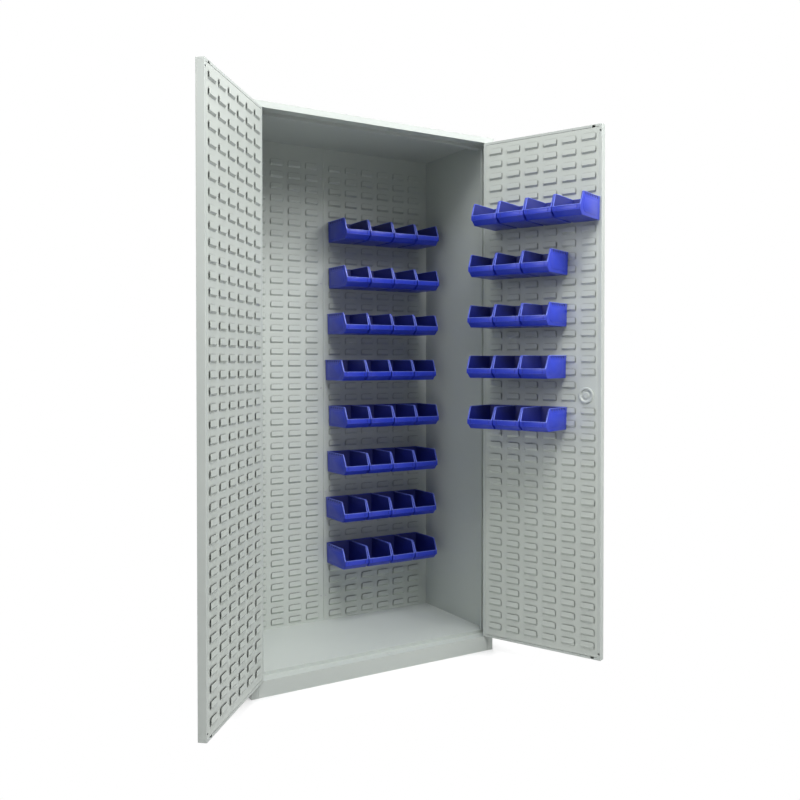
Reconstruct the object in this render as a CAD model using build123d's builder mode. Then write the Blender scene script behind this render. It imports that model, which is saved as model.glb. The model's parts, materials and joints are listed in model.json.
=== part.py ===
"""Workshop cabinet with louvred back and doors, and blue bins hung on the louvres.

Millimetres. X runs to the cabinet's right, Y to its back, Z up. The origin is on the
floor, at the middle of the footprint. The doors are modelled open, as they rest.
"""
import os
from math import cos, radians, sin

from build123d import *

os.makedirs("parts", exist_ok=True)

# Cabinet body
width = 980.0
depth = 500.0
height = 1950.0
sheet = 1.2
sill_height = 55.0
head_height = 21.0
frame_setback = 44.0
frame_step = 12.0
post_width = 21.0
post_return = 10.0
side_frame = 12.0
side_face_setback = 11.5
foot_width = 26.0
rear_flange = 20.0
foot_flange = 25.0
head_box_depth = 31.0
back_panel_stand = 30.0
panel_joint_gap = 0.5
panel_bend_radius = 1.0

# Doors
door_skin = 1.0
door_thickness = 27.0
door_setback = 0.5
door_side_gap = 2.5
door_middle_gap = 2.0
door_end_gap = 2.0
door_side_lip = 12.0
door_end_lip = 8.5
door_lip_return = 10.0
door_bend_radius = 2.0
panel_end_gap = 1.5
left_door_opening = 130.9
right_door_opening = 113.0
bumper_hole_radius = 3.5
bumper_inset = 23.0
end_notch_width = 12.0
end_notch_inset = 31.0

# Pivots
pivot_inset_x = 7.0
pivot_inset_y = 5.5
pin_radius = 3.0
pin_reach = 10.0
pin_running_gap = 0.08
pin_hole_gap = 0.15
pin_block_size = 12.0
pin_block_height = 24.0
bush_wall = 0.9
bush_flange = 1.2
bush_length = 9.0
bush_seat_gap = 0.3

# Louvres
louvre_columns = 6
louvre_rows = 40
louvre_pitch_x = 74.3
louvre_pitch_z = 45.7
louvre_width = 50.0
louvre_height = 24.0
louvre_stand = 5.0
louvre_joggle = 7.0
louvre_root = 1.0
louvre_slot_height = 20.0
louvre_corner = 5.0
strip_below_foot = 10.0
door_louvre_foot = 35.0
door_louvre_edge = 23.0
back_louvre_foot = 10.3
back_louvre_edge = 25.5

# Bins
bin_width = 105.5
bin_depth = 160.0
bin_height = 81.0
bin_wall = 2.0
bin_rim = 2.4
bin_rim_out = 1.5
bin_taper = 2.0
bin_cut_margin = 1.0
bin_mouth_setback = 19.0
bin_mouth_radius = 9.0
bin_front_height = 35.0
bin_front_low = 16.0
bin_toe = 17.0
bin_label_stand = 1.4
bin_label_low = 17.0
bin_label_high = 34.0
bin_label_inset = 3.0
bin_pitch = 106.5
hook_reach = 12.0
hook_side_gap = 0.8
hook_top_gap = 0.6
hook_width = 88.0
bin_rib_count = 6
bin_rib_pitch = 18.0
bin_rib_start = 26.0
bin_rib_width = 2.0
bin_rib_height = 6.0
rows_between_bins = 4
first_bin_row = 6
back_bin_rows = 8
back_bins_per_row = 4
back_bin_start = 13.0
back_row_shift = (5.0, 7.0, 1.0, -8.0, 6.0, 0.0, -6.0, -3.0)
door_bin_counts = (4, 3, 3, 3, 3)
door_bin_insets = (3.0, 122.0, 125.0, 128.0, 125.0)

# Lock and rods
lock_inset = 56.5
lock_height = 984.0
rod_inset = 44.0
rod_width = 12.0
rod_thickness = 4.0
rod_panel_gap = 1.8
rod_slot_gap = 0.6
rod_end_gap = 1.0
rod_way_gap = 1.6
cam_radius = 13.0
cam_pin_angle = 45.0
cam_pin_radius = 3.0
cam_disc_radius = 19.0
cam_thickness = 3.0
cam_pin_gap = 0.6
cam_layer_gap = 0.6
rod_plate_margin = 3.5
rod_crank_drop = 40.0
rod_crank_height = 10.0
spindle_radius = 7.0
spindle_gap = 0.08
lock_case_width = 54.0
lock_case_height = 74.0
lock_case_depth = 9.0
skin_hole_gap = 1.0
lock_louvre_row = 19
rosette_radius = 25.0
rosette_thickness = 5.0
rosette_chamfer = 1.5
handle_hub_radius = 15.0
handle_hub_length = 16.0
handle_length = 96.0
handle_width = 17.0
handle_thickness = 9.0
handle_gap = 0.3
barrel_radius = 8.0
barrel_length = 12.0
barrel_proud = 1.5
key_slot_length = 9.0
key_slot_width = 1.8
key_slot_depth = 4.0
cover_radius = 28.0
cover_dish_radius = 20.0
cover_stand = 4.5
cover_floor = 1.1
cover_lip_radius = 2.0
cover_boss_radius = 13.0
cover_boss_slope = 4.0
cover_boss_height = 3.0
cover_hole_gap = 0.5
guide_height = 10.0
guide_width = 26.0
guide_gap = 0.3
guide_inset = 60.0
guide_from_lock = 240.0
lock_screw_radius = 2.5
lock_screw_spacing = 38.0
lock_screw_head = 4.0
lock_screw_head_height = 2.2
lock_screw_gap = 0.1

# Inner members of the body
centre_post_width = 60.0
centre_post_face = 20.0
rivet_radius = 3.0
rivet_height = 1.5
rivet_rows = 5
rivet_inset = 100.0

# Places worked out from the sizes above
front = -depth / 2
back = depth / 2
post_front = front + frame_setback
wall_front = front + side_face_setback
side_outer = width / 2 - sheet
side_inner = side_outer - sheet
post_inner = side_outer - post_width
flange_inner = width / 2 - side_frame
foot_inner = width / 2 - foot_width
floor_top = sill_height + frame_step
head_bottom = height - head_height
cap_underside = height - sheet
back_sheet_rear = back - sheet
back_sheet_front = back_sheet_rear - sheet
back_panel_face = back - back_panel_stand
door_edge = flange_inner - door_side_gap
door_width = door_edge - door_middle_gap / 2
door_bottom = sill_height + door_end_gap
door_top = head_bottom - door_end_gap
door_height = door_top - door_bottom
pivot_x = door_edge - pivot_inset_x
pivot_y = front + pivot_inset_y
hinge_edge = pivot_inset_x
free_edge = door_width - hinge_edge
door_outer = door_setback - pivot_inset_y
door_inner = door_outer + door_thickness
panel_back = door_inner - sheet
bush_radius = pin_radius + pin_running_gap + bush_wall
bush_flange_thickness = door_end_gap - bush_seat_gap
rod_x = free_edge - rod_inset
lock_x = free_edge - lock_inset
rod_inner = panel_back - rod_panel_gap
rod_outer = rod_inner - rod_thickness
rod_rise = cam_radius * sin(radians(cam_pin_angle))
rod_travel = 2 * rod_rise
bin_stand = louvre_stand + hook_side_gap

# The two door frames: local X runs as the cabinet's X does with the door closed, local Y
# runs inwards, and local Z is up. The origin is on the pivot axis, at floor level.
left_hand = 1
right_hand = -1


def door_frame(hand, opening):
    """The plane of an open door; hand is 1 where the free edge lies towards +X."""
    turn = radians(-hand * opening)
    return Plane(
        origin=(-hand * pivot_x, pivot_y, 0),
        x_dir=(cos(turn), sin(turn), 0),
        z_dir=(0, 0, 1),
    )


left_frame = door_frame(left_hand, left_door_opening)
right_frame = door_frame(right_hand, right_door_opening)


def span(x0, x1, y0, y1, mode=Mode.ADD):
    """A rectangle of the current sketch, given by its sides."""
    with Locations(((x0 + x1) / 2, (y0 + y1) / 2)):
        Rectangle(abs(x1 - x0), abs(y1 - y0), mode=mode)


def facing(frame, x, y, z):
    """A plane at a point of a frame, with its normal along the frame's own Y."""
    return Plane(
        origin=frame.from_local_coords(Vector(x, y, z)),
        x_dir=-frame.x_dir,
        z_dir=frame.y_dir,
    )


def save(part, label):
    part.label = label
    export_step(part, f"parts/{label}.step")


# Side panels: a wall with a front flange, a post behind the door, a rear flange and a foot
def side_panel(hand):
    with BuildPart() as panel:
        with BuildSketch(Plane.XY):
            span(hand * side_inner, hand * side_outer, wall_front, back_sheet_rear)
        extrude(amount=cap_underside)
        with BuildSketch(Plane.XY.offset(sill_height)):
            span(hand * flange_inner, hand * side_outer, wall_front, wall_front + sheet)
        extrude(amount=head_bottom - sill_height)
        with BuildSketch(Plane.XY):
            span(hand * (side_outer - rear_flange), hand * side_outer, back_sheet_rear, back)
            span(hand * post_inner, hand * side_outer, post_front, post_front + sheet)
            span(hand * post_inner, hand * (post_inner + sheet), post_front, post_front + post_return)
        extrude(amount=head_bottom)
        with BuildSketch(Plane.XY):
            span(hand * side_inner, hand * side_outer, front, wall_front + sheet)
            span(hand * foot_inner, hand * side_outer, front, front + sheet)
        extrude(amount=sill_height - sheet)
    return panel.part


save(side_panel(-1), "left_side_panel")
save(side_panel(1), "right_side_panel")

# Top cap: a shallow tray turned over, whose front flange is the visible head of the frame
with BuildPart() as top_panel:
    with BuildSketch(Plane.XY.offset(head_bottom)):
        Rectangle(width, depth)
    extrude(amount=head_height)
    with BuildSketch(Plane.XY.offset(head_bottom)):
        Rectangle(width - 2 * sheet, depth - 2 * sheet)
    extrude(amount=head_height - sheet, mode=Mode.SUBTRACT)
save(top_panel.part, "top_panel")


# Where the pivots and the shut door's lock rods meet the frame of the cabinet
closed_rod = (pivot_x - rod_x, pivot_y + (rod_outer + rod_inner) / 2)
pivot_places = [(-pivot_x, pivot_y), (pivot_x, pivot_y)]

# Head rail: the ledge over the doors, with a box-shaped stop behind it
lip_bottom = head_bottom - frame_step
box_back = post_front + head_box_depth
with BuildPart() as head_rail:
    with BuildSketch(Plane.YZ.offset(-side_inner)):
        with BuildLine():
            Polyline(
                (front + sheet, head_bottom + sheet),
                (front + sheet, head_bottom),
                (post_front, head_bottom),
                (post_front, lip_bottom),
                (box_back, lip_bottom),
                (box_back, cap_underside),
                (box_back - sheet, cap_underside),
                (box_back - sheet, lip_bottom + sheet),
                (post_front + sheet, lip_bottom + sheet),
                (post_front + sheet, head_bottom + sheet),
                close=True,
            )
        make_face()
    extrude(amount=2 * side_inner)
    with BuildSketch(Plane.XY.offset(lip_bottom)):
        span(post_inner, side_outer, post_front, box_back)
        span(-side_outer, -post_inner, post_front, box_back)
    extrude(amount=frame_step, mode=Mode.SUBTRACT)
    with BuildSketch(Plane.XY.offset(head_bottom)):
        with Locations(*pivot_places):
            Circle(bush_radius)
    extrude(amount=sheet, mode=Mode.SUBTRACT)
    with BuildSketch(Plane.XY.offset(head_bottom)):
        with Locations(closed_rod):
            Rectangle(rod_width + 2 * rod_way_gap, rod_thickness + 2 * rod_way_gap)
    extrude(amount=sheet, mode=Mode.SUBTRACT)
save(head_rail.part, "head_rail")

# Base frame: the plinth board and the runners that carry the floor, with a foot flange
runner = foot_inner - panel_joint_gap
base_back = back_sheet_front
board_top = sill_height - sheet
with BuildPart() as base_frame:
    with BuildSketch(Plane.XY):
        span(-runner, runner, front, base_back)
        span(-runner + sheet, runner - sheet, front + sheet, base_back - sheet, Mode.SUBTRACT)
    extrude(amount=board_top)
    with BuildSketch(Plane.XY):
        span(-runner, runner, front, base_back)
        span(
            -runner + foot_flange,
            runner - foot_flange,
            front + foot_flange,
            base_back - foot_flange,
            Mode.SUBTRACT,
        )
    extrude(amount=sheet)
save(base_frame.part, "base_frame")

# Floor panel: sill ledge, step and floor in one folded sheet
floor_back = back_sheet_front
with BuildPart() as floor_panel:
    with BuildSketch(Plane.YZ.offset(-side_inner)):
        with BuildLine():
            Polyline(
                (front, sill_height),
                (front, board_top),
                (post_front + sheet, board_top),
                (post_front + sheet, floor_top - sheet),
                (floor_back, floor_top - sheet),
                (floor_back, floor_top),
                (post_front, floor_top),
                (post_front, sill_height),
                close=True,
            )
        make_face()
    extrude(amount=2 * side_inner)
    with BuildSketch(Plane.XY.offset(board_top)):
        span(post_inner, side_outer, post_front, post_front + post_return)
        span(-side_outer, -post_inner, post_front, post_front + post_return)
    extrude(amount=frame_step + sheet, mode=Mode.SUBTRACT)
    with BuildSketch(Plane.XY.offset(board_top)):
        with Locations(*pivot_places):
            Circle(bush_radius)
    extrude(amount=sheet, mode=Mode.SUBTRACT)
    with BuildSketch(Plane.XY.offset(board_top)):
        with Locations(closed_rod):
            Rectangle(rod_width + 2 * rod_way_gap, rod_thickness + 2 * rod_way_gap)
    extrude(amount=sheet, mode=Mode.SUBTRACT)
save(floor_panel.part, "floor_panel")

# Back sheet, held between the side panels' rear flanges and the louvred panels
with BuildPart() as back_sheet:
    with BuildSketch(Plane.XZ.offset(-back_sheet_front)):
        span(-side_inner, side_inner, 0, cap_underside)
    extrude(amount=-sheet)
save(back_sheet.part, "back_sheet")


# Louvred panels, first in a frame of their own: the face on Y = 0, the louvres towards -Y
def plain_strip(left, right, bottom, top, flange):
    """A stretch of flanged sheet without louvres."""
    with BuildPart() as strip:
        with BuildSketch(Plane.XY.offset(bottom)) as section:
            span(left, right, 0, sheet)
            span(left, left + sheet, 0, flange)
            span(right - sheet, right, 0, flange)
            fillet(section.vertices().group_by(Axis.Y)[0], panel_bend_radius)
        extrude(amount=top - bottom)
    return strip.part


def louvre_strip(left, right, column_starts, flange):
    """One row of louvres in a stretch of flanged sheet one row high, from Z = 0 up."""
    foot = strip_below_foot
    with BuildPart() as tab:
        with BuildSketch(Plane.YZ):
            with BuildLine():
                Polyline(
                    (0, foot - louvre_root),
                    (0, foot),
                    (-louvre_stand, foot + louvre_joggle),
                    (-louvre_stand, foot + louvre_height),
                    (-louvre_stand + sheet, foot + louvre_height),
                    (-louvre_stand + sheet, foot + louvre_joggle + sheet / 2),
                    (sheet, foot + sheet / 2),
                    (sheet, foot - louvre_root),
                    close=True,
                )
            make_face()
        extrude(amount=louvre_width)
        fillet(tab.edges().filter_by(Axis.Y).group_by(Axis.Z)[-1], louvre_corner)
    with BuildPart() as strip:
        with BuildSketch(Plane.XY) as section:
            span(left, right, 0, sheet)
            span(left, left + sheet, 0, flange)
            span(right - sheet, right, 0, flange)
            fillet(section.vertices().group_by(Axis.Y)[0], panel_bend_radius)
        extrude(amount=louvre_pitch_z)
        with BuildSketch(Plane.XZ):
            for start in column_starts:
                span(start, start + louvre_width, foot, foot + louvre_slot_height)
        extrude(amount=-sheet, mode=Mode.SUBTRACT)
        with Locations(*[(start, 0, 0) for start in column_starts]):
            add(tab.part)
    return strip.part


def louvred_panel(left, right, bottom, top, column_starts, first_foot, flange, short_rows=(), short_starts=(), port=None):
    """A louvred sheet with a flange down each side; short_rows lack some louvres.

    A port is the X and Z of the round hole for the lock's inner cover.
    """
    start = first_foot - strip_below_foot
    full_rows = [row for row in range(louvre_rows) if row not in short_rows]
    pieces = [
        plain_strip(left, right, bottom, start, flange),
        plain_strip(left, right, start + louvre_rows * louvre_pitch_z, top, flange),
    ]
    full = louvre_strip(left, right, column_starts, flange)
    pieces += [full.moved(Location((0, 0, start + row * louvre_pitch_z))) for row in full_rows]
    if short_rows:
        short = louvre_strip(left, right, short_starts, flange)
        pieces += [short.moved(Location((0, 0, start + row * louvre_pitch_z))) for row in short_rows]
    with BuildPart() as panel:
        add(pieces, clean=False)
        if port:
            with BuildSketch(Plane.XZ.offset(-2 * sheet)):
                with Locations(port):
                    Circle(cover_dish_radius + cover_hole_gap)
            extrude(amount=2 * sheet + louvre_stand, mode=Mode.SUBTRACT, clean=False)
    return panel.part


def columns_from(left):
    return [left + column * louvre_pitch_x for column in range(louvre_columns)]


columns_width = (louvre_columns - 1) * louvre_pitch_x + louvre_width
back_flange = back_sheet_front - back_panel_face
back_foot = floor_top + back_louvre_foot
half_panel = panel_joint_gap / 2
back_columns = columns_from(back_louvre_edge)
back_panel_shape = louvred_panel(
    half_panel,
    side_inner,
    floor_top,
    cap_underside,
    back_columns,
    back_foot,
    back_flange,
)
right_back_panel = back_panel_shape.moved(Location((0, back_panel_face, 0)))
save(right_back_panel, "back_louvre_panel_right")
save(right_back_panel.mirror(Plane.YZ), "back_louvre_panel_left")

# Centre post: a hat channel behind the joint of the two back panels, riveted to them
flange_x = half_panel + sheet
with BuildPart() as back_centre_post:
    with BuildSketch(Plane.XY.offset(floor_top)):
        span(-centre_post_width / 2, -flange_x, back_panel_face + sheet, back_panel_face + 2 * sheet)
        span(flange_x, centre_post_width / 2, back_panel_face + sheet, back_panel_face + 2 * sheet)
        span(-centre_post_face, -centre_post_face + sheet, back_panel_face + sheet, back_sheet_front)
        span(centre_post_face - sheet, centre_post_face, back_panel_face + sheet, back_sheet_front)
        span(-centre_post_face, -flange_x, back_sheet_front - sheet, back_sheet_front)
        span(flange_x, centre_post_face, back_sheet_front - sheet, back_sheet_front)
    extrude(amount=cap_underside - floor_top)
save(back_centre_post.part, "back_centre_post")
rivet_step = (head_bottom - floor_top - 2 * rivet_inset) / (rivet_rows - 1)
with BuildPart() as back_panel_rivets:
    with BuildSketch(Plane.XZ.offset(-back_panel_face)):
        for row in range(rivet_rows):
            with Locations((-centre_post_face / 2, floor_top + rivet_inset + row * rivet_step)):
                Circle(rivet_radius)
            with Locations((centre_post_face / 2, floor_top + rivet_inset + row * rivet_step)):
                Circle(rivet_radius)
    extrude(amount=rivet_height)
save(back_panel_rivets.part, "back_panel_rivets")


# Pivot bushes: flanged liners in the sill and in the head rail
def bushes(plane_height, flange_way, label):
    """Two flanged bushes; flange_way is 1 where the flange stands above its sheet."""
    with BuildPart() as pair:
        with BuildSketch(Plane.XY.offset(plane_height)):
            with Locations(*pivot_places):
                Circle(bush_radius + bush_flange)
        extrude(amount=flange_way * bush_flange_thickness)
        with BuildSketch(Plane.XY.offset(plane_height)):
            with Locations(*pivot_places):
                Circle(bush_radius)
        extrude(amount=-flange_way * bush_length)
        with BuildSketch(Plane.XY.offset(plane_height - bush_length - bush_flange_thickness)):
            with Locations(*pivot_places):
                Circle(pin_radius + pin_running_gap)
        extrude(amount=2 * (bush_length + bush_flange_thickness), mode=Mode.SUBTRACT)
    save(pair.part, label)


bushes(sill_height, 1, "sill_pivot_bushes")
bushes(head_bottom, -1, "head_pivot_bushes")


# Doors: a folded outer pan with returned lips, and a louvred panel set into it
def door_pan(hand, frame, has_lock):
    inner_skin = door_inner - door_skin
    window_hinge = door_side_lip - hinge_edge
    window_free = free_edge - door_side_lip
    with BuildPart() as pan:
        with BuildSketch(frame.offset(door_bottom)):
            span(-hand * hinge_edge, hand * free_edge, door_outer, door_inner)
        extrude(amount=door_height)
        fillet(pan.edges().filter_by(Axis.Z), door_bend_radius)
        with BuildSketch(frame.offset(door_bottom + door_skin)):
            span(
                -hand * (hinge_edge - door_skin),
                hand * (free_edge - door_skin),
                door_outer + door_skin,
                inner_skin,
            )
        extrude(amount=door_height - 2 * door_skin, mode=Mode.SUBTRACT)
        with BuildSketch(frame.offset(door_bottom + door_end_lip)):
            span(hand * window_hinge, hand * window_free, inner_skin - door_skin, door_inner + door_skin)
        extrude(amount=door_height - 2 * door_end_lip, mode=Mode.SUBTRACT)
        with BuildSketch(frame.offset(door_bottom + door_end_lip)):
            span(hand * (window_hinge - door_skin), hand * window_hinge, door_inner - door_lip_return, door_inner)
            span(hand * window_free, hand * (window_free + door_skin), door_inner - door_lip_return, door_inner)
        extrude(amount=door_height - 2 * door_end_lip)
        with BuildSketch(frame.offset(door_bottom)):
            Circle(pin_radius + pin_hole_gap)
        extrude(amount=door_height, mode=Mode.SUBTRACT)
        notch_x = hand * (free_edge - end_notch_inset)
        for notch_bottom in (door_bottom + 2 * door_skin, door_top - door_end_lip):
            with BuildSketch(frame.offset(notch_bottom)):
                span(
                    notch_x - end_notch_width / 2,
                    notch_x + end_notch_width / 2,
                    inner_skin - door_skin,
                    door_inner + door_skin,
                )
            extrude(amount=door_end_lip - 2 * door_skin, mode=Mode.SUBTRACT)
        for bumper_z in (door_bottom + bumper_inset, door_top - bumper_inset):
            with BuildSketch(facing(frame, hand * (free_edge - door_side_lip / 2), inner_skin, bumper_z)):
                Circle(bumper_hole_radius)
            extrude(amount=door_thickness, mode=Mode.SUBTRACT)
        if has_lock:
            with BuildSketch(frame.offset(door_bottom)):
                with Locations((hand * rod_x, (rod_outer + rod_inner) / 2)):
                    Rectangle(rod_width + 2 * rod_slot_gap, rod_thickness + 2 * rod_slot_gap)
            extrude(amount=door_height, mode=Mode.SUBTRACT)
            with BuildSketch(facing(frame, hand * lock_x, door_outer, lock_height)):
                Circle(spindle_radius + skin_hole_gap)
                with Locations((0, lock_screw_spacing / 2), (0, -lock_screw_spacing / 2)):
                    Circle(lock_screw_radius + lock_screw_gap)
            extrude(amount=door_skin, mode=Mode.SUBTRACT)
    return pan.part


save(door_pan(left_hand, left_frame, False), "left_door_pan")
save(door_pan(right_hand, right_frame, True), "right_door_pan")

door_panel_left = -hinge_edge + door_side_lip
door_panel_right = free_edge - door_side_lip
door_columns = columns_from(free_edge - door_louvre_edge - columns_width)
missing_rows = (lock_louvre_row, lock_louvre_row + 1)
door_panel_sizes = (
    door_panel_left,
    door_panel_right,
    door_bottom + door_end_lip + panel_end_gap,
    door_top - door_end_lip - panel_end_gap,
)
# On the left door the panel is turned half round, so its own X runs towards the hinge
left_panel_shape = louvred_panel(
    -door_panel_right,
    -door_panel_left,
    door_panel_sizes[2],
    door_panel_sizes[3],
    [-start - louvre_width for start in door_columns],
    door_bottom + door_louvre_foot,
    door_lip_return,
)
right_panel_shape = louvred_panel(
    *door_panel_sizes,
    door_columns,
    door_bottom + door_louvre_foot,
    door_lip_return,
    missing_rows,
    door_columns[:-1],
    (lock_x, lock_height),
)
panel_turn = Location((0, door_inner, 0), (0, 0, 180))
save(left_panel_shape.moved(left_frame.location * panel_turn), "left_door_louvre_panel")
save(right_panel_shape.moved(right_frame.location * panel_turn), "right_door_louvre_panel")


# Pivot pins, each with the block that is welded into the corner of the pan
def pivot_pins(hand, frame, label):
    block_low = -hand * (hinge_edge - door_skin)
    block_high = block_low + hand * pin_block_size
    block_front = door_outer + door_skin
    with BuildPart() as pins:
        for block_bottom, pin_end in (
            (door_bottom + door_skin, door_bottom - pin_reach),
            (door_top - door_skin - pin_block_height, door_top + pin_reach),
        ):
            with BuildSketch(frame.offset(block_bottom)):
                span(block_low, block_high, block_front, block_front + pin_block_size)
            extrude(amount=pin_block_height)
            with BuildSketch(frame.offset(pin_end)):
                Circle(pin_radius)
            extrude(amount=block_bottom + pin_block_height / 2 - pin_end)
    save(pins.part, label)


pivot_pins(left_hand, left_frame, "left_door_pivot_pins")
pivot_pins(right_hand, right_frame, "right_door_pivot_pins")

# Lock of the right door. Its axis runs through the door, and rods run up and down from it.
lock_centre = right_hand * lock_x
case_outer = door_outer + door_skin
case_inner = case_outer + lock_case_depth
screw_places = [(0, lock_screw_spacing / 2), (0, -lock_screw_spacing / 2)]
with BuildPart() as lock_case:
    with BuildSketch(facing(right_frame, lock_centre, case_outer, lock_height)):
        RectangleRounded(lock_case_width, lock_case_height, cover_stand)
        Circle(spindle_radius + spindle_gap, mode=Mode.SUBTRACT)
        with Locations(*screw_places):
            Circle(lock_screw_radius + lock_screw_gap, mode=Mode.SUBTRACT)
    extrude(amount=lock_case_depth)
save(lock_case.part, "lock_case")

rosette_front = door_outer - rosette_thickness
with BuildPart() as lock_rosette:
    with BuildSketch(facing(right_frame, lock_centre, rosette_front, lock_height)):
        Circle(rosette_radius)
        Circle(spindle_radius + spindle_gap, mode=Mode.SUBTRACT)
        with Locations(*screw_places):
            Circle(lock_screw_radius + lock_screw_gap, mode=Mode.SUBTRACT)
    extrude(amount=rosette_thickness)
    rims = lock_rosette.edges().filter_by(GeomType.CIRCLE).sort_by(SortBy.RADIUS)[-2:]
    outside = facing(right_frame, lock_centre, rosette_front - rosette_thickness, lock_height)
    chamfer(rims.sort_by_distance(outside.origin)[0], rosette_chamfer)
save(lock_rosette.part, "lock_rosette")

with BuildPart() as lock_screws:
    with BuildSketch(facing(right_frame, lock_centre, rosette_front, lock_height)):
        with Locations(*screw_places):
            Circle(lock_screw_radius)
    extrude(amount=rosette_thickness + door_skin + lock_case_depth - sheet)
    with BuildSketch(facing(right_frame, lock_centre, rosette_front, lock_height)):
        with Locations(*screw_places):
            Circle(lock_screw_head)
    extrude(amount=-lock_screw_head_height)
save(lock_screws.part, "lock_screws")

# Handle: a hub on the rosette with a lever, and a bore for the key barrel
hub_inner = rosette_front - lock_screw_head_height - handle_gap
hub_outer = hub_inner - handle_hub_length
with BuildPart() as lock_handle:
    with BuildSketch(facing(right_frame, lock_centre, hub_outer, lock_height)):
        Circle(handle_hub_radius)
        with Locations((-handle_length / 2, 0)):
            SlotOverall(handle_length + handle_hub_radius, handle_width)
    extrude(amount=handle_thickness)
    with BuildSketch(facing(right_frame, lock_centre, hub_outer, lock_height)):
        Circle(handle_hub_radius)
    extrude(amount=handle_hub_length)
    with BuildSketch(facing(right_frame, lock_centre, hub_outer, lock_height)):
        Circle(barrel_radius + spindle_gap)
    extrude(amount=barrel_length, mode=Mode.SUBTRACT)
save(lock_handle.part, "lock_handle")

with BuildPart() as key_barrel:
    with BuildSketch(facing(right_frame, lock_centre, hub_outer - barrel_proud, lock_height)):
        Circle(barrel_radius)
    extrude(amount=barrel_length + barrel_proud - handle_gap)
    with BuildSketch(facing(right_frame, lock_centre, hub_outer - barrel_proud, lock_height)):
        Rectangle(key_slot_width, key_slot_length)
    extrude(amount=key_slot_depth, mode=Mode.SUBTRACT)
save(key_barrel.part, "key_barrel")

cam_inner = rod_outer - cam_layer_gap
cam_outer = cam_inner - cam_thickness
with BuildPart() as lock_spindle:
    with BuildSketch(facing(right_frame, lock_centre, hub_inner, lock_height)):
        Circle(spindle_radius)
    extrude(amount=cam_outer - hub_inner)
save(lock_spindle.part, "lock_spindle")

# Cam: a disc with two pins. At rest the pin towards the free edge is low.
with BuildPart() as lock_cam:
    with BuildSketch(facing(right_frame, lock_centre, cam_outer, lock_height)):
        Circle(cam_disc_radius)
    extrude(amount=cam_thickness)
    with BuildSketch(facing(right_frame, lock_centre, cam_inner, lock_height)):
        with Locations((rod_rise, -rod_rise), (-rod_rise, rod_rise)):
            Circle(cam_pin_radius)
    extrude(amount=cam_layer_gap + rod_thickness)
save(lock_cam.part, "lock_cam")

# Rods: flat bars whose slotted plates ride on the cam's pins. In the sketch plane X runs
# towards the free edge.
plate_low = rod_rise - cam_pin_radius - cam_pin_gap - rod_plate_margin
plate_high = cam_radius + cam_pin_radius + cam_pin_gap + rod_plate_margin
plate_half = cam_pin_radius + cam_pin_gap + rod_plate_margin
slot_low = rod_rise - cam_pin_radius - cam_pin_gap
slot_high = cam_radius + cam_pin_radius + cam_pin_gap
slot_half = cam_pin_radius + cam_pin_gap
rod_offset = lock_inset - rod_inset
rod_low = rod_offset - rod_width / 2
rod_high = rod_offset + rod_width / 2
rod_plane = facing(right_frame, lock_centre, rod_outer, lock_height)
with BuildPart() as upper_lock_rod:
    with BuildSketch(rod_plane):
        span(plate_low, plate_high, -rod_rise - plate_half, -rod_rise + plate_half)
        span(rod_low, rod_high, -rod_rise, door_top - rod_end_gap - lock_height)
        span(slot_low, slot_high, -rod_rise - slot_half, -rod_rise + slot_half, Mode.SUBTRACT)
    extrude(amount=rod_thickness)
save(upper_lock_rod.part, "upper_lock_rod")
crank_top = rod_rise - rod_crank_drop
crank_bottom = crank_top - rod_crank_height
with BuildPart() as lower_lock_rod:
    with BuildSketch(rod_plane):
        span(-plate_high, -plate_low, crank_bottom, rod_rise + plate_half)
        span(-plate_high, rod_high, crank_bottom, crank_top)
        span(rod_low, rod_high, door_bottom + rod_end_gap - lock_height, crank_top)
        span(-slot_high, -slot_low, rod_rise - slot_half, rod_rise + slot_half, Mode.SUBTRACT)
    extrude(amount=rod_thickness)
save(lower_lock_rod.part, "lower_lock_rod")

# Rod guides: blocks between the door's two skins, with a way for the rod
guide_places = (
    door_bottom + guide_inset,
    lock_height - guide_from_lock,
    lock_height + guide_from_lock,
    door_top - guide_inset,
)
with BuildPart() as rod_guides:
    for guide_bottom in guide_places:
        with BuildSketch(right_frame.offset(guide_bottom)):
            span(
                right_hand * (rod_x - guide_width / 2),
                right_hand * (rod_x + guide_width / 2),
                case_outer,
                panel_back,
            )
            with Locations((right_hand * rod_x, (rod_outer + rod_inner) / 2)):
                Rectangle(rod_width + 2 * guide_gap, rod_thickness + 2 * guide_gap, mode=Mode.SUBTRACT)
        extrude(amount=guide_height)
save(rod_guides.part, "rod_guides")

# Inner cover: a round pressed cap with a raised ring, and a boss in the dish in its middle
cover_centre = right_frame.from_local_coords(Vector(lock_centre, door_inner, lock_height))
cover_section = Plane(origin=cover_centre, x_dir=right_frame.x_dir, z_dir=(0, 0, 1))
with BuildPart() as lock_inner_cover:
    with BuildSketch(cover_section):
        with BuildLine():
            Polyline(
                (0, -cover_floor),
                (cover_dish_radius, -cover_floor),
                (cover_dish_radius, 0),
                (cover_radius, 0),
            )
            Polyline((cover_radius, 0), (cover_radius, cover_stand - cover_lip_radius))
            RadiusArc(
                (cover_radius, cover_stand - cover_lip_radius),
                (cover_radius - cover_lip_radius, cover_stand),
                -cover_lip_radius,
            )
            Line(
                (cover_radius - cover_lip_radius, cover_stand),
                (cover_dish_radius + cover_lip_radius, cover_stand),
            )
            Line((cover_dish_radius + cover_lip_radius, cover_stand), (cover_dish_radius - cover_lip_radius, 0))
            Polyline(
                (cover_dish_radius - cover_lip_radius, 0),
                (cover_boss_radius, 0),
                (cover_boss_radius - cover_boss_slope, cover_boss_height),
                (0, cover_boss_height),
                (0, -cover_floor),
            )
        make_face()
    revolve(axis=Axis(cover_centre, right_frame.y_dir))
save(lock_inner_cover.part, "lock_inner_cover")

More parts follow.
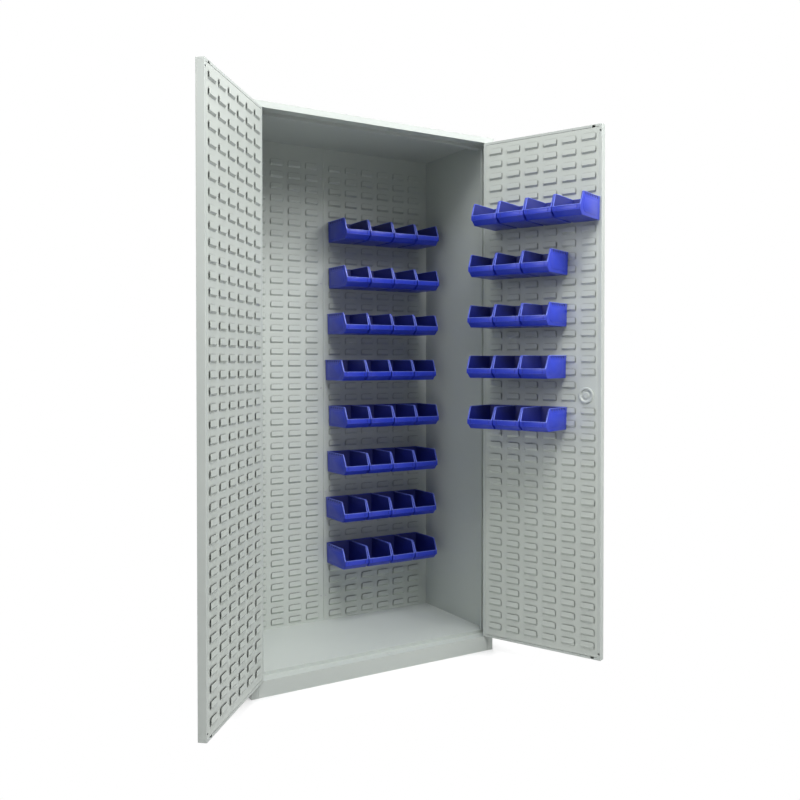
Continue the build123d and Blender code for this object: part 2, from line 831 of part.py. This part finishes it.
# One bin, with its back on Y = 0 and its mouth towards -Y. Its hook reaches to +Y.
body_left = bin_rim_out
body_right = bin_width - bin_rim_out
mouth = bin_depth - bin_mouth_setback
body_bottom_left = body_left + bin_taper
body_bottom_right = body_right - bin_taper
inner_floor = bin_wall
hook_far = hook_side_gap + sheet + hook_side_gap + bin_wall
with BuildPart() as bin_shape:
    with BuildSketch(Plane.YZ):
        with BuildLine():
            Polyline(
                (0, 0),
                (0, bin_height),
                (-mouth, bin_height),
                (-bin_depth, bin_front_height),
                (-bin_depth, bin_front_low),
                (-bin_depth + bin_toe, 0),
                close=True,
            )
        make_face()
    extrude(amount=bin_width)
    mouth_edges = bin_shape.edges().filter_by(Axis.X).group_by(Axis.Z)[-1].sort_by(Axis.Y)
    fillet(mouth_edges[0], bin_mouth_radius)
    with BuildSketch(Plane.XZ.offset(-bin_cut_margin)):
        with BuildLine():
            Polyline(
                (body_bottom_left, 0),
                (body_bottom_right, 0),
                (body_right, bin_height),
                (body_left, bin_height),
                close=True,
            )
        make_face()
    extrude(amount=bin_depth + 2 * bin_cut_margin, mode=Mode.INTERSECT)
    with BuildSketch(Plane.XY.offset(inner_floor)):
        span(body_bottom_left + bin_wall, body_bottom_right - bin_wall, -bin_depth + bin_toe, -bin_wall)
    with BuildSketch(Plane.XY.offset(bin_front_low)):
        span(body_bottom_left + bin_wall, body_bottom_right - bin_wall, -bin_depth + bin_wall, -bin_wall)
    with BuildSketch(Plane.XY.offset(bin_height)):
        span(body_left + bin_wall, body_right - bin_wall, -bin_depth + bin_wall, -bin_wall)
    loft(ruled=True, mode=Mode.SUBTRACT)
    with BuildSketch(Plane.XY.offset(bin_height - bin_rim)):
        span(0, body_left + bin_wall, -mouth + bin_mouth_radius, 0)
        span(body_right - bin_wall, bin_width, -mouth + bin_mouth_radius, 0)
    extrude(amount=bin_rim)
    with BuildSketch(Plane.XZ.offset(bin_depth)):
        span(body_left + bin_label_inset, body_right - bin_label_inset, bin_label_low, bin_label_high)
    extrude(amount=bin_label_stand)
    with BuildSketch(Plane.XY.offset(bin_height - bin_rim - bin_rib_height)):
        for rib in range(bin_rib_count):
            rib_y = -bin_rib_start - rib * bin_rib_pitch
            span(bin_rim_out / 2, body_left + bin_wall / 2, rib_y, rib_y + bin_rib_width)
            span(body_right - bin_wall / 2, bin_width - bin_rim_out / 2, rib_y, rib_y + bin_rib_width)
    extrude(amount=bin_rib_height)
    hook_left = (bin_width - hook_width) / 2
    with BuildSketch(Plane.XY.offset(bin_height - bin_rim)):
        span(hook_left, hook_left + hook_width, -bin_wall, hook_far)
    extrude(amount=bin_rim)
    with BuildSketch(Plane.XY.offset(bin_height - bin_rim)):
        span(hook_left, hook_left + hook_width, hook_far - bin_wall, hook_far)
    extrude(amount=-hook_reach)

# The bins hang by rows. A row's bins share a height, and hook over one row of louvres.
rim_over_louvre = hook_top_gap + bin_rim


def bin_floor(first_foot, step):
    """Height of the bins' undersides, where step counts the rows of bins downwards."""
    louvre_row = louvre_rows - first_bin_row - step * rows_between_bins
    louvre_top = first_foot + louvre_row * louvre_pitch_z + louvre_height
    return louvre_top + rim_over_louvre - bin_height


for step in range(back_bin_rows):
    row_floor = bin_floor(back_foot, step)
    row_left = back_bin_start + back_row_shift[step]
    row_back = back_panel_face - bin_stand
    with BuildPart() as back_bins:
        with Locations(*[(row_left + i * bin_pitch, row_back, row_floor) for i in range(back_bins_per_row)]):
            add(bin_shape.part)
    save(back_bins.part, f"back_bins_row_{step + 1}")

for step, (count, inset) in enumerate(zip(door_bin_counts, door_bin_insets)):
    row_floor = bin_floor(door_bottom + door_louvre_foot, step)
    row_back = door_inner + bin_stand
    places = []
    for i in range(count):
        bin_free_side = -(free_edge - inset - i * bin_pitch)
        places.append(right_frame.location * Location((bin_free_side + bin_width, row_back, row_floor), (0, 0, 180)))
    with BuildPart() as door_bins:
        with Locations(*places):
            add(bin_shape.part)
    save(door_bins.part, f"door_bins_row_{step + 1}")
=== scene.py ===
"""Looks of a tall workshop cabinet: louvred sheet steel, and blue bins hung on its louvres."""
import json
import math

import bmesh
import bpy
from mathutils import Matrix, Vector


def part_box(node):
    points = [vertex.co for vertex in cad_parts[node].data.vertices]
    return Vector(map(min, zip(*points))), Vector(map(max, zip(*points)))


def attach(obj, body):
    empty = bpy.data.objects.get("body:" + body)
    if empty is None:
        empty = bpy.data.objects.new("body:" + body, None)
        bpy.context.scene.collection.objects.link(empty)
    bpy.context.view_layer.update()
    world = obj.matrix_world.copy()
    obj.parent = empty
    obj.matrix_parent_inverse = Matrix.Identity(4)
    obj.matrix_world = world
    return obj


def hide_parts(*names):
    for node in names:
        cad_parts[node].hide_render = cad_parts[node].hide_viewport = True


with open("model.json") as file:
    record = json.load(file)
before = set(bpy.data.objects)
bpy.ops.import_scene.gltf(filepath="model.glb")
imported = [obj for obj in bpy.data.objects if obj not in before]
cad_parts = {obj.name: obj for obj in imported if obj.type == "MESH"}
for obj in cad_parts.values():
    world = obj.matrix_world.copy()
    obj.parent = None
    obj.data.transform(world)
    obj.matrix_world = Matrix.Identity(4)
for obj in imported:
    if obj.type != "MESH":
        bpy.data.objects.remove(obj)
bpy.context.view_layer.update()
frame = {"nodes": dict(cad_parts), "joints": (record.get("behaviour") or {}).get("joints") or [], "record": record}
nodes = frame["nodes"]
mm = 0.001

# The camera, as solved from the photograph's corners and louvres. Metres and radians,
# its lens and film in millimetres, its rise in film widths.
camera_place = (-1.5150, -2.9030, 1.0992)
camera_turn = 0.54007
camera_tilt = -0.01529
camera_film = 36
camera_lens = 38.972
camera_rise = -0.0303

camera = bpy.data.objects.new("camera", bpy.data.cameras.new("camera"))
bpy.context.scene.collection.objects.link(camera)
camera.location = camera_place
camera.rotation_euler = (math.pi / 2 + camera_tilt, 0, -camera_turn)
camera.data.sensor_width = camera_film
camera.data.lens = camera_lens
camera.data.shift_y = camera_rise
bpy.context.scene.camera = camera


class Signal:
    """A node's output, such as a value that varies over a surface. Signals can be added."""

    def __init__(self, shading, socket):
        self.shading = shading
        self.socket = socket

    def __add__(self, other):
        return self.shading.node("ShaderNodeMath", {"operation": "ADD"}, {0: self, 1: other})

    __radd__ = __add__


class Shading:
    """The nodes of a material or of the world. node() adds one, and show() ends them."""

    def __init__(self, owner, output):
        owner.use_nodes = True
        self.tree = owner.node_tree
        self.tree.nodes.clear()
        self.output = self.tree.nodes.new(output)

    def node(self, kind, settings=None, inputs=None, output=0):
        made = self.tree.nodes.new(kind)
        for key, value in (settings or {}).items():
            setattr(made, key, value)
        for key, value in (inputs or {}).items():
            self.plug(made.inputs[key], value)
        return Signal(self, made.outputs[output])

    def plug(self, socket, value):
        if isinstance(value, Signal):
            self.tree.links.new(value.socket, socket)
        else:
            socket.default_value = value

    def show(self, surface):
        self.plug(self.output.inputs["Surface"], surface)

    def place(self):
        return self.node("ShaderNodeTexCoord", output="Object")

    def noise(self, scale, detail):
        inputs = {"Vector": self.place(), "Scale": scale, "Detail": detail}
        return self.node("ShaderNodeTexNoise", None, inputs, "Fac")

    def spread(self, value, low, high, to_low=0.0, to_high=1.0):
        inputs = {
            "Value": value, "From Min": low, "From Max": high, "To Min": to_low, "To Max": to_high,
        }
        return self.node("ShaderNodeMapRange", {"clamp": True}, inputs)

    def blend(self, amount, first, second):
        inputs = {"Factor": amount, "A": first, "B": second}
        return self.node("ShaderNodeMix", {"data_type": "RGBA"}, inputs, "Result")

    def bump(self, height, distance, strength):
        inputs = {"Height": height, "Distance": distance, "Strength": strength}
        return self.node("ShaderNodeBump", None, inputs)


class Finish(Shading):
    """One finish of the cabinet or its bins: a material whose sockets set() fills."""

    def __init__(self, name):
        self.material = bpy.data.materials.new(name)
        super().__init__(self.material, "ShaderNodeOutputMaterial")
        self.shader = self.tree.nodes.new("ShaderNodeBsdfPrincipled")
        self.show(Signal(self, self.shader.outputs[0]))

    def set(self, **values):
        for name, value in values.items():
            self.plug(self.shader.inputs[name.replace("_", " ")], value)


def opaque(colour, factor=1.0):
    """A colour as a socket takes it, times a factor."""
    return (*(part * factor for part in colour), 1)


def powder_coat(name, colour, warm, crease_shade=1.0):
    """Satin powder coat: orange peel and a slow drift of its tone. Creases can take painted shade."""
    coat = Finish(name)
    drift = coat.noise(scale=1.7, detail=3.0)
    speck = coat.noise(scale=420.0, detail=2.0)
    tone = coat.blend(coat.spread(drift, 0.35, 0.65), opaque(colour), opaque(warm))
    # Painted shade: where ambient occlusion finds surfaces within 10 mm, the tone darkens towards the colour times
    # the crease factor
    if crease_shade < 1:
        nearby = {"samples": 6, "only_local": True}
        ao_for_painted_shade = coat.node("ShaderNodeAmbientOcclusion", nearby, {"Distance": 10 * mm}, "AO")
        tone = coat.blend(coat.spread(ao_for_painted_shade, 0.35, 0.85), opaque(colour, crease_shade), tone)
    rough = coat.spread(speck, 0.3, 0.7, to_low=0.4, to_high=0.5)
    peel = coat.noise(scale=650.0, detail=1.0)
    texture = coat.bump(peel, distance=0.06 * mm, strength=0.5)
    coat.set(Base_Color=tone, Roughness=rough, Normal=texture, Specular_IOR_Level=0.45)
    return coat.material


def moulded_plastic(name, colour, deep, roughness, grain=1100.0):
    """Moulded plastic with a fine spark-eroded grain and slight flow of its colour."""
    resin = Finish(name)
    flow = resin.noise(scale=26.0, detail=4.0)
    tone = resin.blend(resin.spread(flow, 0.3, 0.7), opaque(colour), opaque(deep))
    speck = resin.noise(grain, detail=2.0)
    rough = resin.spread(speck, 0.3, 0.7, to_low=roughness - 0.05, to_high=roughness + 0.06)
    texture = resin.bump(resin.noise(grain, detail=1.0), distance=0.04 * mm, strength=0.5)
    resin.set(Base_Color=tone, Roughness=rough, Normal=texture)
    return resin.material


def plated_steel(name, colour, roughness, grain=90.0):
    """Bright metal with a blotched lustre: where it is darker it is also duller."""
    plate = Finish(name)
    blotch = plate.noise(grain, detail=5.0)
    tone = plate.blend(plate.spread(blotch, 0.35, 0.65), opaque(colour), opaque(colour, 0.8))
    rough = plate.spread(blotch, 0.3, 0.7, to_low=roughness - 0.07, to_high=roughness + 0.09)
    plate.set(Base_Color=tone, Roughness=rough, Metallic=1.0)
    return plate.material


cabinet_grey = powder_coat("cabinet_powder_coat", (0.525, 0.562, 0.533), (0.5, 0.538, 0.51))
bin_blue = moulded_plastic(
    "bin_plastic_blue", (0.02, 0.045, 0.54), (0.016, 0.038, 0.5), roughness=0.34)
# The bins' insides, notches and grooves: the same blue plastic painted far darker, as painted shade
bin_inside_painted_shade = moulded_plastic(
    "bin_plastic_inside_painted_shade", (0.007, 0.015, 0.2), (0.006, 0.012, 0.17), roughness=0.5)
# The bins' rims and lips: the same blue painted lighter as a painted highlight, and also glossier
bin_rim_painted_highlight = moulded_plastic(
    "bin_plastic_rim_painted_highlight", (0.15, 0.2, 0.78), (0.13, 0.18, 0.74), roughness=0.24)
# The louvres' creases take painted shade, darkened down to 0.16 of the colour
louvre_grey = powder_coat(
    "louvre_powder_coat", (0.56, 0.6, 0.562), (0.54, 0.58, 0.542), crease_shade=0.16)
zinc = plated_steel("zinc_plate", (0.62, 0.63, 0.65), roughness=0.34)
bright_steel = plated_steel("turned_steel", (0.7, 0.7, 0.72), roughness=0.22, grain=240.0)
black_plastic = moulded_plastic(
    "handle_plastic_black", (0.016, 0.016, 0.018), (0.012, 0.012, 0.013), 0.5, grain=700.0)
nylon = moulded_plastic(
    "bush_nylon", (0.03, 0.03, 0.033), (0.024, 0.024, 0.026), 0.45, grain=700.0)

finish_of_slot = {
    "cabinet_paint": cabinet_grey,
    "bin_plastic": bin_blue,
    "zinc_steel": zinc,
    "nylon": nylon,
    "bright_steel": bright_steel,
    "black_plastic": black_plastic,
}
slot_of_node = {entry["node"]: entry["material_slot"] for entry in frame["record"]["subparts"]}
for name, node in nodes.items():
    finish = louvre_grey if "louvre" in name else finish_of_slot[slot_of_node[name]]
    node.data.materials.clear()
    node.data.materials.append(finish)


def modify(piece, modifiers):
    """Adds modifiers to a piece, each a kind with its settings."""
    for kind, settings in modifiers:
        modifier = piece.modifiers.new(kind.lower(), kind)
        for key, value in settings.items():
            setattr(modifier, key, value)


def rounding(width, segments, sharper_than):
    """A bevel on the edges that turn by more than an angle, in degrees."""
    return ("BEVEL", {
        "width": width, "segments": segments,
        "limit_method": "ANGLE", "angle_limit": math.radians(sharper_than),
    })


# The lock's mouldings have round edges, each of so many millimetres
moulded_edges = {"lock_handle": 3.2, "lock_rosette": 0.8, "lock_inner_cover": 0.5}
for name, radius in moulded_edges.items():
    weld = ("WELD", {"merge_threshold": 0.01 * mm})
    modify(nodes[name], [weld, rounding(radius * mm, segments=4, sharper_than=40)])

# One bin, in millimetres: its back on Y = 0, its mouth towards -Y, its hook towards +Y, and
# its left rim on X = 0. The rim stands out of the walls, which draw in by the taper below.
bin_width, bin_depth, bin_height = 105.5, 160.0, 81.0
bin_wall, rim_out, rim_thick, taper = 2.0, 1.5, 2.4, 2.0

# The side walls' top edge drops from mouth_y to the front wall, and the toe slopes in under it
mouth_y, mouth_radius, mouth_steps = -141.0, 9.0, 7
front_top, front_low, toe = 35.0, 16.0, 17.0

# Roundings: where walls meet, along the walls' own edges, and on what is added to them
wall_corner, wall_edge, trim_edge = 1.6, 0.5, 0.35

# The rim reaches past the wall inside, and its lip runs along the front wall's top
rim_inward = 0.9
lip_side, lip_rise, lip_out, lip_in = 0.4, 0.3, 1.8, 2.4

# The stacking notches under the rim: each has a long top, a short foot and a slope between
notch_count, notch_first, notch_pitch = 6, -18.0, 19.0
notch_top, notch_foot, notch_drop = 13.0, 5.0, 8.0
notch_out, notch_thick = 0.35, 1.0

# The raised panel on each side wall, in Y and Z
panel_outline = (
    (-22.0, 12.0), (-22.0, 62.0), (-126.0, 62.0), (-136.0, 36.0), (-136.0, 22.0), (-122.0, 12.0),
)
panel_out, panel_thick = 0.8, 1.2

# The hook goes over a louvre's sheet with some play, and hangs down behind it
hook_width, hook_drop, hook_step = 88.0, 12.0, 0.3
hook_play, louvre_sheet = 0.8, 1.2
hook_reach = hook_play + louvre_sheet + hook_play + bin_wall

# The label holder on the front wall: a plate framed by a ledge and four upright bars, with a
# groove beside each inner bar, painted dark as its shade
label_side, label_foot, label_top = 1.6, front_low + 1.0, front_top - rim_thick
plate_out, plate_sunk = 0.9, 0.6
frame_out, frame_sunk, bar_width, bar_inset = 1.9, 0.4, 2.0, 12.0
groove_out, groove_width, groove_inset, groove_foot = 1.0, 1.4, 14.2, front_low + 3.2

# The bin's finishes and the number each has on its faces; inside is painted shade, rim painted highlight
bin_finishes = (bin_blue, bin_inside_painted_shade, bin_rim_painted_highlight)
outside, inside, rim = range(len(bin_finishes))


def lean(z):
    """How far the side walls have drawn in at a height, towards the bottom."""
    return taper * (1 - z / bin_height)


def mouth_path():
    """The side wall's top edge, from the back to the front wall: level, round, then steep."""
    corner = Vector((mouth_y, bin_height))
    slope = (Vector((-bin_depth, front_top)) - corner).normalized()
    half = math.acos(slope.dot(Vector((1, 0)))) / 2
    run = mouth_radius / math.tan(half)
    centre = corner + Vector((run, -mouth_radius))
    start = math.pi / 2
    sweep = math.pi - 2 * half
    arc = []
    for i in range(mouth_steps + 1):
        angle = start + sweep * i / mouth_steps
        arc.append(tuple(centre + mouth_radius * Vector((math.cos(angle), math.sin(angle)))))
    return [(0.0, bin_height)] + arc + [(-bin_depth, front_top)]


def rim_band():
    """A side wall's rim, seen from the side: the mouth's path, and back along its inside."""
    path = mouth_path()
    inner = []
    for i, (y, z) in enumerate(path):
        before = Vector(path[max(i - 1, 0)])
        after = Vector(path[min(i + 1, len(path) - 1)])
        along = (after - before).normalized()
        inner.append((y - along.y * rim_thick, z + along.x * rim_thick))
    return path + inner[::-1]


def prism(shape, outline, low, high, finish):
    """A bar between two sides: outline is in Y and Z, low and high give X at a height."""
    left = [shape.verts.new((low(z), y, z)) for y, z in outline]
    right = [shape.verts.new((high(z), y, z)) for y, z in outline]
    count = len(outline)
    faces = [shape.faces.new(left), shape.faces.new(reversed(right))]
    for i in range(count):
        j = (i + 1) % count
        faces.append(shape.faces.new((left[j], left[i], right[i], right[j])))
    for face in faces:
        face.material_index = finish


def slab(shape, low, high, finish=outside):
    """A box from its lowest to its highest corner."""
    outline = [(low[1], low[2]), (high[1], low[2]), (high[1], high[2]), (low[1], high[2])]
    prism(shape, outline, lambda z: low[0], lambda z: high[0], finish)


def on_side_walls(shape, outline, out, thick, finish=outside):
    """The same plate on both side walls: it stands out of the wall and leans with it."""
    start = rim_out - out
    prism(shape, outline,
          lambda z: start + lean(z),
          lambda z: start + lean(z) + thick, finish)
    prism(shape, outline,
          lambda z: bin_width - start - thick - lean(z),
          lambda z: bin_width - start - lean(z), finish)


def on_front_wall(shape, across, up, out, sunk, finish=outside):
    """A plate on the front wall, across and up being its spans: it stands out and is sunk in."""
    low = (across[0], -bin_depth - out, up[0])
    high = (across[1], -bin_depth + sunk, up[1])
    slab(shape, low, high, finish)


def made(name, shape, modifiers):
    """A mesh from a bmesh in millimetres, with modifiers applied."""
    bmesh.ops.recalc_face_normals(shape, faces=shape.faces)
    mesh = bpy.data.meshes.new(name)
    shape.to_mesh(mesh)
    shape.free()
    for finish in bin_finishes:
        mesh.materials.append(finish)
    holder = bpy.data.objects.new(name, mesh)
    bpy.context.scene.collection.objects.link(holder)
    modify(holder, modifiers)
    shown = holder.evaluated_get(bpy.context.evaluated_depsgraph_get())
    result = bpy.data.meshes.new_from_object(shown)
    bpy.data.objects.remove(holder)
    bpy.data.meshes.remove(mesh)
    return result


def bin_tub():
    """The walls and floor, as one skin with rounded corners and a wall's thickness."""
    path = mouth_path()
    outline = path + [(-bin_depth, front_low), (-bin_depth + toe, 0.0), (0.0, 0.0)]
    shape = bmesh.new()
    left = [shape.verts.new((rim_out + lean(z), y, z)) for y, z in outline]
    right = [shape.verts.new((bin_width - rim_out - lean(z), y, z)) for y, z in outline]
    shape.faces.new(left)
    shape.faces.new(reversed(right))
    for i in range(len(path) - 1, len(outline) - 1):
        shape.faces.new((left[i + 1], left[i], right[i], right[i + 1]))
    shape.faces.new((left[0], left[-1], right[-1], right[0]))
    corners = [edge for edge in shape.edges if len(edge.link_faces) == 2]
    bmesh.ops.bevel(shape, geom=corners, offset=wall_corner, segments=3, profile=0.5,
                    affect="EDGES", clamp_overlap=True)
    # The inner skin and the walls' cut edges take the inside finish, painted shade
    thickness = ("SOLIDIFY", {
        "thickness": bin_wall, "offset": -1.0, "use_even_offset": True,
        "material_offset": inside, "material_offset_rim": inside,
    })
    return made("tub", shape, [thickness, rounding(wall_edge, segments=2, sharper_than=50)])


def add_rim(shape):
    """The rim of the side walls, and its lip along the front wall's top."""
    # The rim and its lip take the rim finish: a painted highlight
    on_side_walls(shape, rim_band(), rim_out, rim_out + bin_wall + rim_inward, rim)
    end = lean(front_top) + lip_side
    top = front_top + lip_rise
    on_front_wall(shape, (end, bin_width - end), (top - rim_thick, top), lip_out, lip_in, rim)


def add_notches(shape):
    """The stacking notches, dark with the inside finish as painted shade under the rim."""
    under = bin_height - rim_thick
    for i in range(notch_count):
        y = notch_first - notch_pitch * i
        outline = [
            (y, under), (y - notch_top, under),
            (y - notch_foot, under - notch_drop), (y, under - notch_drop),
        ]
        on_side_walls(shape, outline, notch_out, notch_thick, inside)


def add_hook(shape):
    """The hook on the back: level over the louvre's edge, then down behind it."""
    left = (bin_width - hook_width) / 2
    right = bin_width - left
    under = bin_height - rim_thick
    slab(shape, (left, -bin_wall, under), (right, hook_reach, bin_height))
    slab(shape, (left, hook_reach - bin_wall, under - hook_drop),
         (right, hook_reach, bin_height - hook_step))


def add_label_holder(shape):
    """The plate for a label, its ledge, its bars and the grooves."""
    across = (label_side, bin_width - label_side)
    ledge = (label_foot, label_foot + bar_width)
    on_front_wall(shape, across, (label_foot, label_top), plate_out, plate_sunk)
    on_front_wall(shape, across, ledge, frame_out, frame_sunk)
    for inset in (label_side, bar_inset):
        for x in (inset, bin_width - inset - bar_width):
            bar = (x, x + bar_width)
            on_front_wall(shape, bar, (label_foot, label_top), frame_out, frame_sunk)
    # The grooves take the inside finish: painted shade
    for x in (groove_inset, bin_width - groove_inset - groove_width):
        groove = (x, x + groove_width)
        on_front_wall(shape, groove, (groove_foot, label_top), groove_out, frame_sunk, inside)


def bin_trim():
    """Everything that stands on the tub."""
    shape = bmesh.new()
    add_rim(shape)
    add_notches(shape)
    on_side_walls(shape, panel_outline, panel_out, panel_thick)
    add_hook(shape)
    add_label_holder(shape)
    return made("trim", shape, [rounding(trim_edge, segments=2, sharper_than=40)])


def bin_mesh():
    """The whole bin in metres, smooth but for its sharp edges."""
    shape = bmesh.new()
    for part in (bin_tub(), bin_trim()):
        shape.from_mesh(part)
        bpy.data.meshes.remove(part)
    bmesh.ops.scale(shape, vec=(mm, mm, mm), verts=shape.verts)
    mesh = bpy.data.meshes.new("bin")
    shape.to_mesh(mesh)
    shape.free()
    mesh.shade_smooth()
    mesh.set_sharp_from_angle(angle=math.radians(35))
    for finish in bin_finishes:
        mesh.materials.append(finish)
    return mesh


def set_bins(row, places):
    """Puts a bin at each place of a row; together they stand for that row's node."""
    for number, place in enumerate(places, 1):
        one = bpy.data.objects.new(f"{row}_bin_{number}", bin_look)
        one.matrix_world = place
        bpy.context.scene.collection.objects.link(one)
        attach(one, row)
        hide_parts(row)


bin_look = bin_mesh()
bin_pitch = 106.5 * mm
back_rows, back_row_bins = 8, 4
for number in range(1, back_rows + 1):
    row = f"back_bins_row_{number}"
    low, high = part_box(row)
    back_plane = high.y - hook_reach * mm
    set_bins(row, [
        Matrix.Translation((low.x + i * bin_pitch, back_plane, low.z))
        for i in range(back_row_bins)
    ])

# The right door's bins stand in its own frame, which is turned about its pivot. Each row has
# a count of bins, and the first is set in from the door's free edge by so many millimetres.
right_swing = next(joint for joint in frame["joints"] if joint["name"] == "right_door_swing")
open_angle = math.radians(-right_swing["range_deg"][0])
right_door = Matrix.Translation(right_swing["pos_m"]) @ Matrix.Rotation(open_angle, 4, "Z")
facing_out = Matrix.Rotation(math.pi, 4, "Z")
door_free_edge = 467.5 * mm
door_inner_face = 22.0 * mm
bin_clear = 5.8 * mm
door_rows = ((4, 3.0), (3, 122.0), (3, 125.0), (3, 128.0), (3, 125.0))
for number, (count, inset) in enumerate(door_rows, 1):
    row = f"door_bins_row_{number}"
    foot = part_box(row)[0].z
    places = []
    for i in range(count):
        free_side = -(door_free_edge - inset * mm - i * bin_pitch)
        spot = (free_side + bin_width * mm, door_inner_face + bin_clear, foot)
        places.append(right_door @ Matrix.Translation(spot) @ facing_out)
    set_bins(row, places)

# The room: a pale floor that keeps the cabinet's shadow, and a white surround. The floor is shaded
# inside an ellipse about the plinth's front, where its glow also takes painted contact shade near
# things, and white outside a slightly larger one.
white, black = (1, 1, 1, 1), (0, 0, 0, 1)
floor_tone = 0.5
floor_glow = 0.66
floor_reach = 60.0
# Painted contact shade: within so many metres of things the floor's glow darkens
contact_shade = 0.14
ellipse_scale, ellipse_shift = (1.0, 2.2, 0.0), (0.0, 0.55, 0.0)
ellipse_shaded, ellipse_white = 0.5, 0.66
surround_tint = (0.97, 0.99, 1.0, 1)
surround_light = 0.09


def show_through(shading, shown, hidden):
    """Mixes two shaders: shown to the camera and in gloss and glass, hidden to other rays."""
    seen = shading.node("ShaderNodeLightPath", output="Is Camera Ray")
    gloss = shading.node("ShaderNodeLightPath", output="Is Glossy Ray")
    through = shading.node("ShaderNodeLightPath", output="Is Transmission Ray")
    shares = {0: seen + gloss + through, 1: hidden, 2: shown}
    return shading.node("ShaderNodeMixShader", None, shares)


def pale_floor():
    """Shaded near the cabinet, where its shadow and a painted contact shade fall, and plain white further out."""
    material = bpy.data.materials.new("studio_floor")
    ground = Shading(material, "ShaderNodeOutputMaterial")
    plain = ground.node("ShaderNodeBsdfDiffuse", None, {"Color": opaque((floor_tone,) * 3)})
    # Painted contact shade: ambient occlusion darkens the glow near the cabinet
    nearby = {"Distance": contact_shade}
    ao_for_painted_shade = ground.node("ShaderNodeAmbientOcclusion", {"samples": 12}, nearby, "AO")
    shade = ground.spread(ao_for_painted_shade, 0.0, 0.85, to_low=0.0, to_high=floor_glow)
    glow = ground.node("ShaderNodeEmission", None, {"Color": ground.blend(shade, black, white)})
    lit = ground.node("ShaderNodeAddShader", None, {0: plain, 1: glow})
    ellipse = {0: ground.place(), 1: ellipse_scale, 2: ellipse_shift}
    from_plinth = ground.node("ShaderNodeVectorMath", {"operation": "MULTIPLY_ADD"}, ellipse)
    far = ground.node("ShaderNodeVectorMath", {"operation": "LENGTH"}, {0: from_plinth}, "Value")
    away = ground.spread(far, ellipse_shaded, ellipse_white)
    backdrop = ground.node("ShaderNodeEmission", None, {"Color": white})
    near = ground.node("ShaderNodeMixShader", None, {0: away, 1: lit, 2: backdrop})
    ground.show(show_through(ground, near, plain))
    return material


corners = [(-1, -1), (1, -1), (1, 1), (-1, 1)]
floor_mesh = bpy.data.meshes.new("studio_floor")
floor_mesh.from_pydata([(x * floor_reach, y * floor_reach, 0) for x, y in corners], [], [range(4)])
floor_mesh.materials.append(pale_floor())
studio_floor = bpy.data.objects.new("studio_floor", floor_mesh)
bpy.context.scene.collection.objects.link(studio_floor)

surround = bpy.data.worlds.new("surround")
bpy.context.scene.world = surround
sky = Shading(surround, "ShaderNodeOutputWorld")
dim = sky.node("ShaderNodeBackground", None, {"Color": surround_tint, "Strength": surround_light})
bright = sky.node("ShaderNodeBackground", None, {"Color": white})
sky.show(show_through(sky, bright, dim))


def softbox(name, place, target, size, power):
    """A rectangular soft lamp at a place, turned to a target. Metres and watts."""
    lamp = bpy.data.lights.new(name, "AREA")
    lamp.shape = "RECTANGLE"
    lamp.size, lamp.size_y = size
    lamp.energy = power
    holder = bpy.data.objects.new(name, lamp)
    holder.location = place
    holder.rotation_euler = (Vector(target) - Vector(place)).to_track_quat("-Z", "Y").to_euler()
    bpy.context.scene.collection.objects.link(holder)


softbox("high_softbox", (-0.4, -2.6, 4.6), (0, 0, 1.2), (2.4, 1.8), 158.0)
softbox("right_softbox", (2.0, -2.7, 3.6), (0, 0, 1.1), (1.6, 1.6), 85.0)
softbox("left_softbox", (-3.4, -1.2, 2.6), (0, -0.3, 1.2), (1.6, 1.6), 40.0)
softbox("front_softbox", (0.0, -4.0, 3.6), (0, 0, 1.0), (2.6, 1.6), 24.0)
softbox("back_softbox", (2.2, 3.6, 3.4), (0, 0, 1.0), (2.2, 2.2), 130.0)

bpy.context.scene.view_settings.view_transform = "Standard"
